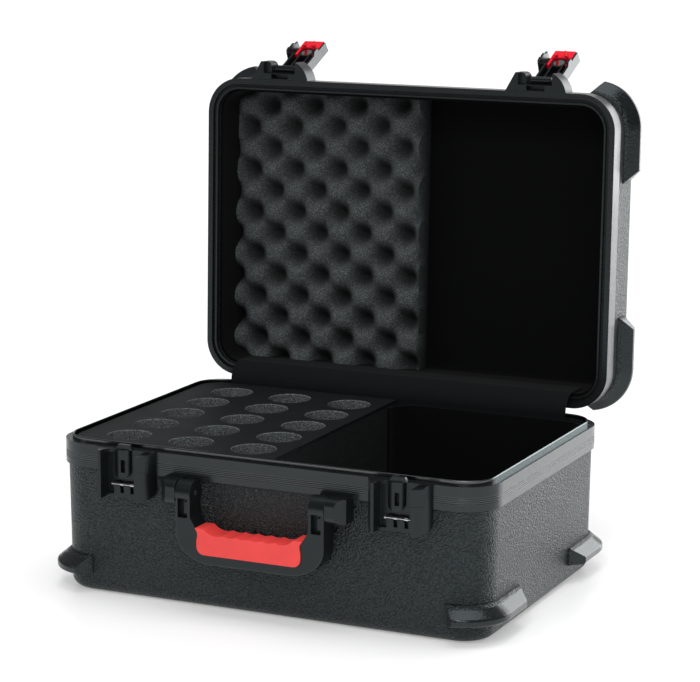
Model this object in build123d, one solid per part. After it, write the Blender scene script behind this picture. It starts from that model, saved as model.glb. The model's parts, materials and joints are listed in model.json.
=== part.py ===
from build123d import *
import os
from math import cos, radians, sin, tan

# Moulded microphone case, standing open: a base with a block of fifteen microphone drops and a
# storage compartment, and a lid that stands back on its hinges.
# +X is right, +Y is back, +Z is up. The origin is the centre of the base's underside.
# "inset" is measured inwards from the outer face of the two aluminium frames, and "proud" is
# measured forwards from it. The lid and its latches are built closed, and then swung open.

# ---------------------------------------------------------------- case and shells
case_width = 520.0
case_depth = 364.0
corner_radius = 42.0
base_height = 170.0          # floor to the parting face
lid_height = 86.0            # parting face to the top of the closed lid
closing_gap = 0.4            # between the two frames, closed
shell_wall = 4.0
shell_inset = 2.7            # shell's face behind the frames' face
draft_angle = 0.9
edge_radius = 12.0           # round the underside of the base and the top of the lid
fit_gap = 0.3                # between pieces that are laid in or on each other

# ---------------------------------------------------------------- rub bumpers at the corners
bumper_proud = 12.0
bumper_low = 22.0            # flat face, from the closed end of its shell
bumper_nose = 8.0            # height of the nose
bumper_slope = 12.0          # height of the sloping face above the nose
bumper_front_leg = 48.0      # from the case corner, along the front and back
bumper_side_leg = 104.0      # from the case corner, along the sides
bumper_edge = 3.0

# ---------------------------------------------------------------- aluminium frames
frame_leg = 2.4              # outer leg's thickness
frame_web = 3.0
frame_inner_leg = 2.2
frame_inner_reach = 15.0     # how far the inner leg grips the shell
base_band = 26.5             # height of the outer leg, base
lid_band = 21.5              # height of the outer leg, lid
tongue_inset = 7.4
tongue_width = 2.4
tongue_height = 4.7
groove_play = 1.0            # each side of the tongue
groove_depth = 6.0
groove_lip = 2.0             # metal inside the groove
seal_height = 1.2
rib_count = 4                # fine grooves along the base frame
rib_pitch = 2.0
rib_depth = 0.5
rib_width = 1.0
rib_drop = 12.5              # parting face to the first fine groove

# ---------------------------------------------------------------- hinges
lid_open_angle = 91.6
hinge_back = 5.0             # pin behind the frames' face
hinge_rise = 3.5             # pin above the parting face
hinge_spacing = 300.0
hinge_length = 76.0
hinge_knuckles = 5
hinge_leaf = 2.2
hinge_knuckle_radius = 4.0
hinge_pin_radius = 2.0
hinge_leaf_reach = 24.0      # leaf's height, from the parting face
running_gap = 0.05           # round every pin
knuckle_gap = 0.3
hinge_rivet_radius = 3.2
hinge_rivet_head = 1.4
hinge_rivet_pitch = 24.0

# ---------------------------------------------------------------- foam and linings
lining = 3.0
foam_edge = 9.0              # round where the foam and linings meet the shell's round edge
block_width = 251.0
sheet_height = 4.0
block_rise = 2.0             # of the block's top above the parting face
drop_radius = 24.5
drop_columns = 3
drop_rows = 5
drop_pitch_x = 77.7
drop_pitch_y = 61.9
drop_left = 55.6             # block's left face to the first column
drop_front = 40.0            # block's front face to the first row
drop_floor = 40.0            # foam left under a drop, from the floor of the case
crate_width = 245.0
crate_slab = 14.0
crate_peak = 24.0
crate_pitch = 58.5           # between peaks in a row
crate_row = 26.2             # between rows, each half a pitch aside
crate_turn = 2.9             # of the rows, in degrees
crate_foot_radius = 19.2
crate_tip_radius = 7.0
flap_left = -217.0
flap_right = 217.0
flap_thick = 2.0
flap_drop = 34.0             # below the parting face
flap_rise = 30.0             # above the parting face, closed

# ---------------------------------------------------------------- latches
# Across a latch, places are measured from the middle of its housing.
latch_spacing = 327.0
latch_shift = -1.0
latch_width = 74.0
latch_slant = 12.0           # run of the straight slope at the left
latch_sweep = 16.0           # run of the curved end at the right
latch_proud = 20.5
receiver_height = 53.5
receiver_corner = 11.0
receiver_back = 3.0          # plate behind the bay
bay_left = -21.5
bay_width = 41.5
ledge_drop = 41.0            # parting face to the top of the ledge under the teeth
ledge_left = -12.5
ledge_proud = 7.5
channel_floor = 3.5          # bottom wall of the deep channel left of the ledge
saddle_left = 20.0           # dip in the right block's top
saddle_width = 11.0
saddle_depth = 3.0
saddle_ramp = 3.5
corner_web = 8.0             # web across the bay's top left corner
corner_web_height = 4.0
panel_left = 17.0            # shallow panel on the right block
panel_width = 15.0
panel_height = 11.0
panel_drop = 10.5
panel_depth = 0.6
boss_middle = -2.2
boss_width = 20.5
boss_proud = 9.5
boss_height = 32.0
cam_slot_shift = 2.2         # right of the boss's middle
cam_slot_width = 5.0
cam_slot_height = 14.0
cam_slot_drop = 18.0
tooth_width = 8.2
tooth_pitch = 12.5
tooth_height = 4.8
tooth_proud = 8.8
tooth_round = 1.5
striker_radius = 1.8
striker_drop = 38.8
striker_proud = 7.0
tab_width = 20.5
tab_height = 5.5
tab_thick = 4.0
tab_proud = 6.0
tab_gap = 0.8
tab_slope = 62.0
pocket_depth = 9.0
bracket_height = 23.3
bracket_proud = 21.5
bracket_wall = 7.5           # proud of the wall behind the lever
notch_height = 6.0           # full width of the bay, below the left ear
ear_reach = 8.2              # left ear, right of the bay's left side
ear_round = 6.5
pin_seat = 8.0               # pin's length in each ear
pivot_rise = 19.5            # above the parting face, closed
pivot_proud = 8.5
pivot_pin_radius = 2.0
knuckle_radius = 4.5
bar_radius = 4.0             # fixed bar in front of the lever's knuckle
bar_rise = 11.5
bar_proud = 13.0
bar_gap = 0.5
lever_open_angle = 154.0     # from closed to flung back
lever_length = 79.0          # pivot to tip
lever_proud = 21.5
lever_skin = 2.5
lever_gap = 0.8
lever_wall_proud = 8.2       # walls' inner edge
lever_lobe_proud = 3.9       # inner edge of the lobes
lever_lip = 3.4              # slope of the tip's end
lever_step = 46.0            # pivot to the wall that joins the two left walls
lever_shoulder = 10.0        # pivot to the outer skin's end
rib_left = 6.4               # thin ribs, each side of the lock
lever_rib = 2.0
lock_ring = 2.5
lock_radius = 6.5
lock_from_tip = 26.0
lock_gap = 0.15
lock_length = 11.2
key_slot_width = 2.0
key_slot_height = 8.0
key_slot_depth = 2.0
release_width = 26.0
release_proud = 8.6          # inner face
release_length = 16.2
release_travel = 4.0
release_arm = 3.0
release_arm_length = 15.8
release_ridge = 0.7
hook_width = 3.2
hook_thick = 1.9
hook_shank = 3.0
hook_tip = 1.0               # above the striker's middle
hook_clear = 0.5             # between a hook and the striker
hook_recess = 1.4            # plate left behind the hooks

# ---------------------------------------------------------------- handle
handle_shift = -2.4
handle_width = 177.0
handle_arm = 18.0
handle_thick = 25.0
handle_clear = 1.0           # behind the bail, proud of the frames' face
handle_drop = 36.5           # parting face to the pivot
handle_reach = 75.0          # pivot to the bail's lower edge
handle_pivot_proud = 12.5
handle_head_radius = 14.0
handle_corner_width = 42.0
handle_corner_height = 32.0
handle_bar = 11.0            # bar below the grip
handle_edge = 2.0
slant_width = 9.2            # slope between each arm and the grip
slant_height = 15.7
grip_length = 124.0
grip_height = 24.0
grip_proud = 1.2             # in front of the bail
grip_end = 9.0
grip_flare = 5.0             # rise of each end on the slope
finger_grooves = 6
finger_pitch = 15.4
finger_radius = 20.0
finger_round = 2.0
handle_slot_width = 11.5
handle_slot_height = 21.0
handle_slot_depth = 8.0
handle_slot_drop = 4.5       # pivot to the slot's top
slot_block_width = 4.5
slot_block_height = 13.0
slot_block_depth = 4.5
mount_width = 21.0
mount_height = 27.0
mount_proud = 26.0
mount_round = 8.0
mount_facet = 9.6            # run of the slope at the outer end
mount_facet_depth = 10.0
mount_gap = 0.6
handle_pin_radius = 3.0

# ---------------------------------------------------------------- worked out from the above
front = -case_depth / 2
back = case_depth / 2
closed_top = base_height + lid_height
lid_parting = base_height + closing_gap
frame_inner = shell_inset + shell_wall + fit_gap
groove_inset = tongue_inset - groove_play
groove_width = tongue_width + 2 * groove_play
lid_web_inset = groove_inset + groove_width + groove_lip
lid_web = groove_depth + groove_lip
inner_inset = lid_web_inset + fit_gap
hinge_y = back + hinge_back
hinge_z = base_height + hinge_rise
block_left = inner_inset - case_width / 2
block_front = front + inner_inset
block_right = block_left + block_width
block_back = back - inner_inset - flap_thick - fit_gap
pivot_y = front - pivot_proud
pivot_z = base_height + pivot_rise
receiver_low = base_height - receiver_height
ledge_top = base_height - ledge_drop
boss_low = base_height - boss_height
bay_right = bay_left + bay_width
striker_height = base_height - striker_drop
lever_left = bay_left + lever_gap
lever_right = bay_right - lever_gap
arm_left = bay_left + ear_reach + lever_gap
lever_middle = (arm_left + lever_right) / 2
lever_tip = pivot_z - lever_length
lever_inner = lever_proud - lever_skin
lock_height = lever_tip + lock_from_tip
lock_inner = lever_proud - lock_length
hook_near = striker_proud - striker_radius - hook_clear
hook_low = striker_height - striker_radius - hook_clear - hook_shank
block_top = base_height + block_rise
handle_pivot_height = base_height - handle_drop
handle_low = handle_pivot_height - handle_reach
grip_low = handle_low + handle_bar
latch_places = {
    "left": latch_shift - latch_spacing / 2,
    "right": latch_shift + latch_spacing / 2,
}
hinge_places = {"left": -hinge_spacing / 2, "right": hinge_spacing / 2}


# ---------------------------------------------------------------- shared shapes
def plan(inset, height):
    """The case's rounded outline, set in from the frames' face, at a height."""
    outline = RectangleRounded(
        case_width - 2 * inset, case_depth - 2 * inset, corner_radius - inset
    )
    return Pos(0, 0, height) * outline


def ring(inset_out, inset_in, low, high):
    """A band that runs round the case between two insets and two heights."""
    return extrude(plan(inset_out, low) - plan(inset_in, low), high - low)


def core(inset, low, high):
    """A block with the case's outline, from one height to another."""
    return extrude(plan(inset, low), high - low)


def block(x_low, x_high, y_low, y_high, z_low, z_high):
    """A plain block between two corners."""
    box = Box(x_high - x_low, y_high - y_low, z_high - z_low)
    return Pos((x_low + x_high) / 2, (y_low + y_high) / 2, (z_low + z_high) / 2) * box


def rod(radius, x_low, x_high, y, z):
    """A round bar along X."""
    bar = Rot(0, 90, 0) * Cylinder(radius, x_high - x_low)
    return Pos((x_low + x_high) / 2, y, z) * bar


def ended(solid, at_top):
    """The edges round a solid's top or bottom face."""
    groups = solid.edges().group_by(Axis.Z)
    return groups[-1] if at_top else groups[0]


def drafted(inset, open_height, end_height, radius):
    """A solid that narrows from its open end to a closed end with a rounded edge."""
    rise = abs(end_height - open_height) * tan(radians(draft_angle))
    sections = [plan(inset, open_height), plan(inset + rise, end_height)]
    if end_height < open_height:
        sections.reverse()
    solid = loft(sections)
    return fillet(ended(solid, end_height > open_height), radius)


def tub(open_height, end_height):
    """A drafted shell with an open mouth."""
    inward = shell_wall if end_height < open_height else -shell_wall
    outside = drafted(shell_inset, open_height, end_height, edge_radius)
    inside = drafted(
        shell_inset + shell_wall, open_height, end_height + inward, edge_radius - shell_wall
    )
    return outside - inside


def corner_zone(x_sign, y_sign):
    """The part of the plan that one corner bumper covers, with its ends cut at 45 degrees."""
    x, y = case_width / 2, case_depth / 2
    root = shell_inset
    reach = bumper_proud + edge_radius
    front_end = x - bumper_front_leg
    side_end = y - bumper_side_leg
    points = [
        (front_end, y - root),
        (front_end + reach + root, y + reach),
        (x + reach, y + reach),
        (x + reach, side_end + reach + root),
        (x - root, side_end),
        (x - 2 * edge_radius, side_end),
        (front_end, y - 2 * edge_radius),
    ]
    zone = make_face(Polyline([(x_sign * a, y_sign * b) for a, b in points], close=True))
    return extrude(zone, closed_top, both=True)


def bumpers(end_height, towards_opening):
    """Four rub bumpers: flat towards the closed end, sloping towards the opening."""
    flat = end_height + towards_opening * bumper_low
    nose = flat + towards_opening * bumper_nose
    slope = nose + towards_opening * bumper_slope
    wall_inset = shell_inset + shell_wall / 2
    solid = ring(-bumper_proud, wall_inset, min(flat, nose), max(flat, nose))
    sections = [plan(-bumper_proud, nose), plan(shell_inset, slope)]
    hollow = [plan(wall_inset, nose), plan(wall_inset + fit_gap, slope)]
    if towards_opening < 0:
        sections.reverse()
        hollow.reverse()
    solid = solid + (loft(sections) - loft(hollow))
    noses = solid.edges().filter_by(lambda e: abs(e.center().X) > case_width / 2 + bumper_edge
                                    or abs(e.center().Y) > case_depth / 2 + bumper_edge)
    solid = fillet(noses, bumper_edge)
    zones = [corner_zone(x_sign, y_sign) for x_sign in (-1, 1) for y_sign in (-1, 1)]
    return [solid & zone for zone in zones]


def opened(shape):
    """Swings a piece of the closed lid back to where the lid stands open."""
    return shape.rotate(Axis((0, hinge_y, hinge_z), (1, 0, 0)), -lid_open_angle)


def flung(shape):
    """Throws a piece of a closed lever back over its bracket, and opens the lid with it."""
    back_over = shape.rotate(Axis((0, pivot_y, pivot_z), (1, 0, 0)), -lever_open_angle)
    return opened(back_over)


# ---------------------------------------------------------------- shells
def make_base_shell():
    shell = tub(base_height - frame_web - fit_gap, 0)
    for bumper in bumpers(0, 1):
        shell = shell + bumper
    return shell


def make_lid_shell():
    shell = tub(lid_parting + lid_web + fit_gap, closed_top)
    for bumper in bumpers(closed_top, -1):
        shell = shell + bumper
    return opened(shell)


# ---------------------------------------------------------------- frames and seal
def make_base_frame():
    frame = ring(0, frame_leg, base_height - base_band, base_height)
    frame += ring(0, tongue_inset + tongue_width, base_height - frame_web, base_height)
    frame += ring(
        frame_inner, frame_inner + frame_inner_leg, base_height - frame_inner_reach, base_height
    )
    tongue = ring(
        tongue_inset, tongue_inset + tongue_width, base_height, base_height + tongue_height
    )
    frame += chamfer(ended(tongue, True), tongue_width / 3)
    for step in range(rib_count):
        middle = base_height - rib_drop - step * rib_pitch
        frame -= ring(-1, rib_depth, middle - rib_width / 2, middle + rib_width / 2)
    return frame


def make_lid_frame():
    frame = ring(0, lid_web_inset, lid_parting, lid_parting + lid_web)
    frame -= ring(groove_inset, groove_inset + groove_width, lid_parting, lid_parting + groove_depth)
    frame += ring(0, frame_leg, lid_parting, lid_parting + lid_band)
    frame += ring(
        frame_inner,
        frame_inner + frame_inner_leg,
        lid_parting + lid_web,
        lid_parting + frame_inner_reach,
    )
    return opened(frame)


def make_lid_seal():
    top = lid_parting + groove_depth
    return opened(ring(groove_inset, groove_inset + groove_width, top - seal_height, top))


# ---------------------------------------------------------------- foam, linings and flap
def make_foam_blank(low, high):
    """The block's outline between two heights."""
    blank = core(inner_inset, low, high)
    return blank & block(block_left, block_right, block_front, block_back, low, high)


def drop_places():
    """The middle of each microphone drop."""
    for column in range(drop_columns):
        for row in range(drop_rows):
            yield (
                block_left + drop_left + column * drop_pitch_x,
                block_front + drop_front + row * drop_pitch_y,
            )


def drops(low, high):
    """The fifteen drops, as plugs between two heights."""
    plug = extrude(Circle(drop_radius), high - low)
    return [Pos(x, y, low) * plug for x, y in drop_places()]


def make_foam_block():
    floor = shell_wall + fit_gap
    top = block_top - sheet_height
    foam = core(inner_inset, floor, top)
    foam = fillet(ended(foam, False), foam_edge)
    foam &= block(block_left, block_right, block_front, block_back, floor, top)
    return foam - drops(drop_floor, top)


def make_top_sheet():
    return make_foam_blank(block_top - sheet_height, block_top) - drops(
        block_top - sheet_height, block_top
    )


def make_compartment_lining():
    """Floor and three walls. The foam block is its fourth wall."""
    floor = shell_wall + fit_gap
    rim = base_height - frame_web
    outside = fillet(ended(core(inner_inset, floor, rim), False), foam_edge)
    inside = core(inner_inset + lining, floor + lining, rim)
    inside = fillet(ended(inside, False), foam_edge - lining)
    side = block_right + fit_gap
    inside &= block(side - 1, case_width, front, block_back - lining, 0, rim)
    outside &= block(side, case_width, front, block_back, floor, rim)
    return outside - inside


def make_lid_lining():
    ceiling = closed_top - shell_wall - fit_gap
    rim = lid_parting + lid_web + fit_gap
    outside = fillet(ended(core(inner_inset, rim, ceiling), True), foam_edge)
    inside = core(inner_inset + lining, rim, ceiling - lining)
    inside = fillet(ended(inside, True), foam_edge - lining)
    return opened(outside - inside)


def make_egg_crate():
    """A slab with staggered rows of round-topped peaks that face the microphones."""
    ceiling = closed_top - shell_wall - lining - 2 * fit_gap
    inset = inner_inset + lining + fit_gap
    left = inset - case_width / 2
    right = left + crate_width
    slab = core(inset, ceiling - crate_slab, ceiling)
    slab = fillet(ended(slab, True), foam_edge - lining)
    slab &= block(left, right, front, back, ceiling - crate_slab, ceiling)
    peak = Cone(crate_foot_radius, crate_tip_radius, crate_peak)
    peak = fillet(ended(peak, True), crate_tip_radius / 2)
    peak = Pos(0, 0, ceiling - crate_slab - crate_peak / 2) * (Rot(180, 0, 0) * peak)
    reach = case_depth / 2 - inset - crate_foot_radius
    turn = radians(crate_turn)
    count = int(case_depth / crate_row)
    for row in range(-count, count + 1):
        for column in range(-count, count + 1):
            along = (column + row % 2 / 2) * crate_pitch
            across = row * crate_row
            x = (left + right) / 2 + along * cos(turn) + across * sin(turn)
            y = across * cos(turn) - along * sin(turn)
            if abs(y) < reach and left + crate_foot_radius < x < right - crate_foot_radius:
                slab += Pos(x, y, 0) * peak
    return opened(slab)


def make_flap_base():
    near = back - inner_inset - flap_thick
    low = base_height - flap_drop
    return block(flap_left, flap_right, near, near + flap_thick, low, base_height - fit_gap)


def make_flap_lid():
    near = back - inner_inset - lining - fit_gap - flap_thick
    low = lid_parting + lid_web + 2 * fit_gap
    return opened(block(flap_left, flap_right, near, near + flap_thick, low, low + flap_rise))


# ---------------------------------------------------------------- hinges
def knuckles(middle, first):
    """Every second knuckle of one hinge, counted from first."""
    length = hinge_length / hinge_knuckles
    rods = []
    for index in range(first, hinge_knuckles, 2):
        low = middle - hinge_length / 2 + index * length + knuckle_gap / 2
        rods.append(rod(hinge_knuckle_radius, low, low + length - knuckle_gap, hinge_y, hinge_z))
    return rods


def hinge_half(middle, first, upward):
    """A leaf on the back of a frame, with its knuckles."""
    left = middle - hinge_length / 2
    right = middle + hinge_length / 2
    clear = hinge_knuckle_radius + knuckle_gap
    if upward:
        edge, end = hinge_z + clear, lid_parting + hinge_leaf_reach
    else:
        edge, end = hinge_z - clear, base_height - hinge_leaf_reach
    leaf = block(left, right, back, back + hinge_leaf, min(edge, end), max(edge, end))
    for knuckle in knuckles(middle, first):
        span = knuckle.bounding_box()
        leaf += block(span.min.X, span.max.X, back, back + hinge_leaf,
                      min(edge, hinge_z), max(edge, hinge_z))
        leaf += knuckle
    return leaf - rod(hinge_pin_radius + running_gap, left - 1, right + 1, hinge_y, hinge_z)


def make_hinge_pin(middle):
    half = hinge_length / 2
    return rod(hinge_pin_radius, middle - half, middle + half, hinge_y, hinge_z)


def hinge_rivets(height):
    """Domed rivet heads on the leaves, three for each hinge."""
    head = Rot(-90, 0, 0) * Cylinder(hinge_rivet_radius, hinge_rivet_head)
    heads = []
    for middle in hinge_places.values():
        for step in (-1, 0, 1):
            x = middle + step * hinge_rivet_pitch
            y = back + hinge_leaf + hinge_rivet_head / 2
            rivet = Pos(x, y, height) * head
            outer = rivet.edges().group_by(Axis.Y)[-1]
            heads.append(fillet(outer, hinge_rivet_head * 0.7))
    return heads


# ---------------------------------------------------------------- latches
def housing_outline(proud, height):
    """Plan of a latch housing: a straight slope at the left, a curved end at the right."""
    half = latch_width / 2
    flat = half - latch_sweep
    outline = [
        Polyline((half, 0), (-half, 0), (latch_slant - half, -proud), (flat, -proud)),
        ThreePointArc((flat, -proud), (flat + 0.66 * latch_sweep, -0.6 * proud), (half, 0)),
    ]
    return Pos(0, front, height) * make_face(outline)


def bay(left, right, proud, low, high):
    """A block to cut away, from a depth out through the housing's face."""
    return block(left, right, front - latch_proud - lever_skin, front - proud, low, high)


def side_plate(points, left, right):
    """A plate across X, from its profile as (proud, height) points."""
    profile = make_face(Polyline([(front - proud, height) for proud, height in points], close=True))
    return Pos(left, 0, 0) * extrude(Plane.YZ * profile, right - left)


def front_plate(face, near, far):
    """A plate facing the front, from its outline, between two depths."""
    return Pos(0, front - near, 0) * extrude(Plane.XZ * face, far - near)


def hook_places():
    """The middle of each gap that a release hook enters: between the teeth, and right of them."""
    return boss_middle, boss_middle + tooth_pitch


def make_receiver():
    """The catch on the base: a bay for the lever, a toothed ledge and the locating tab."""
    top = base_height
    body = extrude(housing_outline(latch_proud, receiver_low), receiver_height)
    corners = RectangleRounded(latch_width, 2 * receiver_height, receiver_corner)
    body &= front_plate(Pos(0, top) * corners, -1, latch_proud + 1)
    panel = block(panel_left, panel_left + panel_width, front - latch_proud - 1,
                  front - latch_proud / 3, top - panel_drop - panel_height, top - panel_drop)
    body -= panel - extrude(housing_outline(latch_proud - panel_depth, receiver_low),
                            receiver_height)
    body -= bay(bay_left, bay_right, ledge_proud, receiver_low - 1, top + 1)
    body -= bay(bay_left, bay_right, receiver_back, ledge_top, top + 1)
    body -= bay(bay_left, ledge_left, receiver_back, receiver_low + channel_floor, top + 1)
    dip = Polyline((saddle_left - 1, top + 1), (saddle_left - 1, top - saddle_depth),
                   (saddle_left + saddle_width, top - saddle_depth),
                   (saddle_left + saddle_width + saddle_ramp, top + 1), close=True)
    body -= front_plate(make_face(dip), receiver_back, latch_proud + 1)
    web = Polyline((bay_left - 1, -latch_proud + 2), (bay_left - 1, -receiver_back + 1),
                   (bay_left + corner_web, -receiver_back + 1), (bay_left + corner_web, -receiver_back))
    curve = ThreePointArc((bay_left + corner_web, -receiver_back),
                          (bay_left + 0.4 * corner_web, -0.38 * latch_proud),
                          (bay_left - 1, -latch_proud + 2))
    corner = extrude(make_face([web, curve]), corner_web_height)
    body += Pos(0, front, top - corner_web_height) * corner
    boss = Ellipse(boss_width / 2, boss_proud - receiver_back)
    boss &= Pos(0, -boss_proud / 2) * Rectangle(boss_width, boss_proud)
    boss = Pos(boss_middle, front - receiver_back, boss_low) * extrude(boss, boss_height)
    nose = Pos(boss_middle, boss_low + boss_width / 2) * Circle(boss_width / 2)
    nose += Pos(boss_middle, top) * Rectangle(boss_width, 2 * boss_height - boss_width)
    boss &= front_plate(nose, 0, latch_proud) & core(-latch_proud, boss_low, top)
    slot_middle = boss_middle + cam_slot_shift
    boss -= bay(slot_middle - cam_slot_width / 2, slot_middle + cam_slot_width / 2, receiver_back,
                top - cam_slot_drop - cam_slot_height / 2, top - cam_slot_drop + cam_slot_height / 2)
    body += boss
    tooth_right = lever_right - lever_skin - lever_gap
    for step in (-0.5, 0.5, 1.5):
        x = boss_middle + step * tooth_pitch
        tooth = block(x - tooth_width / 2, min(x + tooth_width / 2, tooth_right),
                      front - tooth_proud, front - receiver_back, ledge_top - 1,
                      ledge_top + tooth_height)
        rounded = tooth.edges().group_by(Axis.Y)[0].filter_by(Axis.X).sort_by(Axis.Z)[-1]
        body += fillet(rounded, tooth_round)
    for x in hook_places():
        half_slot = hook_width / 2 + hook_clear
        body -= bay(x - half_slot, x + half_slot, hook_recess,
                    hook_low - release_travel - hook_clear,
                    striker_height + hook_tip + hook_clear)
    body -= rod(striker_radius + running_gap, boss_middle - tooth_pitch,
                boss_middle + 1.5 * tooth_pitch, front - striker_proud, striker_height)
    tab = Rot(90, 0, 0) * extrude(Trapezoid(tab_width, tab_height, tab_slope), tab_thick)
    body += Pos(0, front - tab_proud + tab_thick, top + tab_height / 2) * tab
    return body


def make_striker():
    return rod(striker_radius, boss_middle - tooth_pitch, boss_middle + 1.5 * tooth_pitch,
               front - striker_proud, striker_height)


def make_bracket():
    """The lever's bracket on the lid: two ears, a notch, a bar and a pocket for the tab."""
    low = lid_parting + fit_gap
    high = low + bracket_height
    ear = bay_left + ear_reach
    notch = low + notch_height
    lower = Pos(0, front, low) * Rectangle(1, 1)
    lower = housing_outline(bracket_proud, low)
    lower -= Pos((bay_left + bay_right) / 2, front - bracket_proud, low) * Rectangle(
        bay_width, 2 * (bracket_proud - bracket_wall))
    upper = housing_outline(bracket_proud, notch)
    upper -= Pos((ear + bay_right) / 2, front - bracket_proud, notch) * Rectangle(
        bay_right - ear, 2 * (bracket_proud - bracket_wall))
    shoulder = upper.vertices().filter_by(
        lambda v: abs(v.X - ear) < 0.01 and abs(v.Y - front + bracket_proud) < 0.01)
    upper = fillet(shoulder, ear_round)
    body = extrude(lower, notch_height) + extrude(upper, bracket_height - notch_height)
    recess = pivot_proud - knuckle_radius - bar_gap
    body -= block(ear, bay_right, front - bracket_wall - 1, front - recess,
                  pivot_z - knuckle_radius - bar_gap, high + 1)
    bar_y, bar_z = front - bar_proud, base_height + bar_rise
    bar_left, bar_right = arm_left + lever_skin + lever_gap, lever_right - lever_skin - lever_gap
    body += rod(bar_radius, bar_left, bar_right, bar_y, bar_z)
    body += block(bar_left, bar_right, bar_y, front - bracket_wall + 1,
                  bar_z, pivot_z - knuckle_radius - bar_gap)
    window = tab_width / 2 + tab_gap
    body -= block(-window, window, front - tab_proud - tab_gap,
                  front - tab_proud + tab_thick + tab_gap, low, low + pocket_depth)
    body -= rod(pivot_pin_radius + running_gap, ear - pin_seat, bay_right + pin_seat,
                pivot_y, pivot_z)
    return body


def make_pivot_pin():
    return rod(pivot_pin_radius, bay_left + ear_reach - pin_seat, bay_right + pin_seat,
               pivot_y, pivot_z)


def wall_profile(lobes):
    """A lever wall's profile from its tip, with lobes that reach into the receiver's bay."""
    level, deep = lever_wall_proud, lever_lobe_proud
    points = [(lever_proud, lever_tip), (lever_proud, pivot_z - lever_shoulder),
              (lever_proud - 6, pivot_z - 4), (pivot_proud + 3.9, pivot_z + 2.2),
              (pivot_proud, pivot_z), (pivot_proud, pivot_z - knuckle_radius),
              (level, pivot_z - knuckle_radius)]
    for low, high in lobes:
        points += [(level, high + 2), (deep, high - 2), (deep, low + 3), (deep + 2, low + 1), (level, low)]
    return points + [(level, lever_tip + lever_lip)]


def make_lever():
    """A channel that swings on the pin, with a ringed hole for the lock."""
    wing_top = pivot_z - lever_step
    wing_low = receiver_low + channel_floor + lever_gap
    middle = (wing_top + wing_low) / 2
    tooth_top = ledge_top + tooth_height + lever_gap
    right = wall_profile([(tooth_top, wing_top + 4)])
    body = side_plate(right, lever_right - lever_skin, lever_right)
    arm = [p for p in wall_profile([]) if p[1] > wing_top]
    arm = [(lever_proud, wing_top)] + arm + [(lever_wall_proud, wing_top)]
    body += side_plate(arm, arm_left, arm_left + lever_skin)
    wing = [(lever_proud, lever_tip), (lever_proud, wing_top), (lever_wall_proud, wing_top),
            (lever_lobe_proud + 1, wing_top - 1), (lever_lobe_proud, wing_top - 4),
            (lever_lobe_proud, middle + 3), (lever_lobe_proud + 3, middle + 1),
            (lever_lobe_proud + 1, middle - 1), (lever_lobe_proud + 1, wing_low + 3),
            (lever_wall_proud, wing_low), (lever_wall_proud, lever_tip + lever_lip)]
    body += side_plate(wing, lever_left, lever_left + lever_skin)
    body += block(lever_left, arm_left + lever_skin, front - lever_proud, front - lever_wall_proud,
                  wing_top - lever_skin, wing_top)
    skin_top = pivot_z - lever_shoulder
    wide_top = base_height - lever_gap
    body += block(lever_left, lever_right, front - lever_proud, front - lever_inner,
                  lever_tip, wide_top)
    body += block(arm_left, lever_right, front - lever_proud, front - lever_inner,
                  wide_top - 1, skin_top)
    body += rod(knuckle_radius, arm_left, lever_right, pivot_y, pivot_z)
    ring_radius = lock_radius + lock_gap + lock_ring
    ring = Pos(lever_middle, lock_height) * Circle(ring_radius)
    body += front_plate(ring, lock_inner, lever_proud)
    rib_top = pivot_z - lever_shoulder - bar_radius
    for x in (lever_middle - rib_left, lever_middle + rib_left):
        body += block(x - lever_rib / 2, x + lever_rib / 2, front - lever_inner, front - lock_inner,
                      lock_height, rib_top)
    hole = Pos(lever_middle, lock_height) * Circle(lock_radius + lock_gap)
    body -= front_plate(hole, 0, lever_proud + 1)
    body -= rod(pivot_pin_radius + running_gap, arm_left - 1, lever_right + 1, pivot_y, pivot_z)
    return body


def make_release():
    """The slide in the lever's tip: a ridged plate, two arms beside the lock, two hooks."""
    outer = lever_inner - fit_gap
    half = release_width / 2
    low = lever_tip + hook_clear
    high = low + release_length
    left, right = lever_middle - half, lever_middle + half
    body = block(left, right, front - outer, front - release_proud, low, high)
    clear = Pos(lever_middle, lock_height) * Circle(lock_radius + lock_ring + 2 * hook_clear)
    body -= front_plate(clear, 0, lever_proud)
    body += block(lever_middle - 0.8, lever_middle + 0.8, front - release_proud - 1,
                  front - release_proud + release_ridge, low, lock_height - lock_radius - 6)
    for x in (left, right - release_arm):
        body += block(x, x + release_arm, front - lock_inner - 4, front - lock_inner + 0.8,
                      high - 1, high + release_arm_length)
    near = front - hook_near
    for x in hook_places():
        a, b = x - hook_width / 2, x + hook_width / 2
        body += block(a, b, front - release_proud - 1, near + hook_thick, hook_low,
                      hook_low + hook_shank)
        body += block(a, b, near, near + hook_thick, hook_low, striker_height + hook_tip)
    return body


def make_lock():
    """The key barrel through the lever's skin, with its slot."""
    barrel = front_plate(Pos(lever_middle, lock_height) * Circle(lock_radius), lock_inner, lever_proud)
    slot = block(lever_middle - key_slot_width / 2, lever_middle + key_slot_width / 2,
                 front - lever_proud - 1, front - lever_proud + key_slot_depth,
                 lock_height - key_slot_height / 2, lock_height + key_slot_height / 2)
    return barrel - slot


# ---------------------------------------------------------------- handle
def bail_outline():
    """Outside of the bail, seen from the front."""
    half = handle_width / 2
    top, low = handle_pivot_height, handle_low
    wide, tall = handle_corner_width, handle_corner_height
    corner_left = EllipticalCenterArc((wide - half, low + tall), wide, tall,
                                      start_angle=180, arc_size=90)
    corner_right = EllipticalCenterArc((half - wide, low + tall), wide, tall,
                                       start_angle=270, arc_size=90)
    return make_face([
        Line((-half, top), (-half, low + tall)), corner_left,
        Line((wide - half, low), (half - wide, low)), corner_right,
        Line((half, low + tall), (half, top)), Line((half, top), (-half, top)),
    ])


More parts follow.
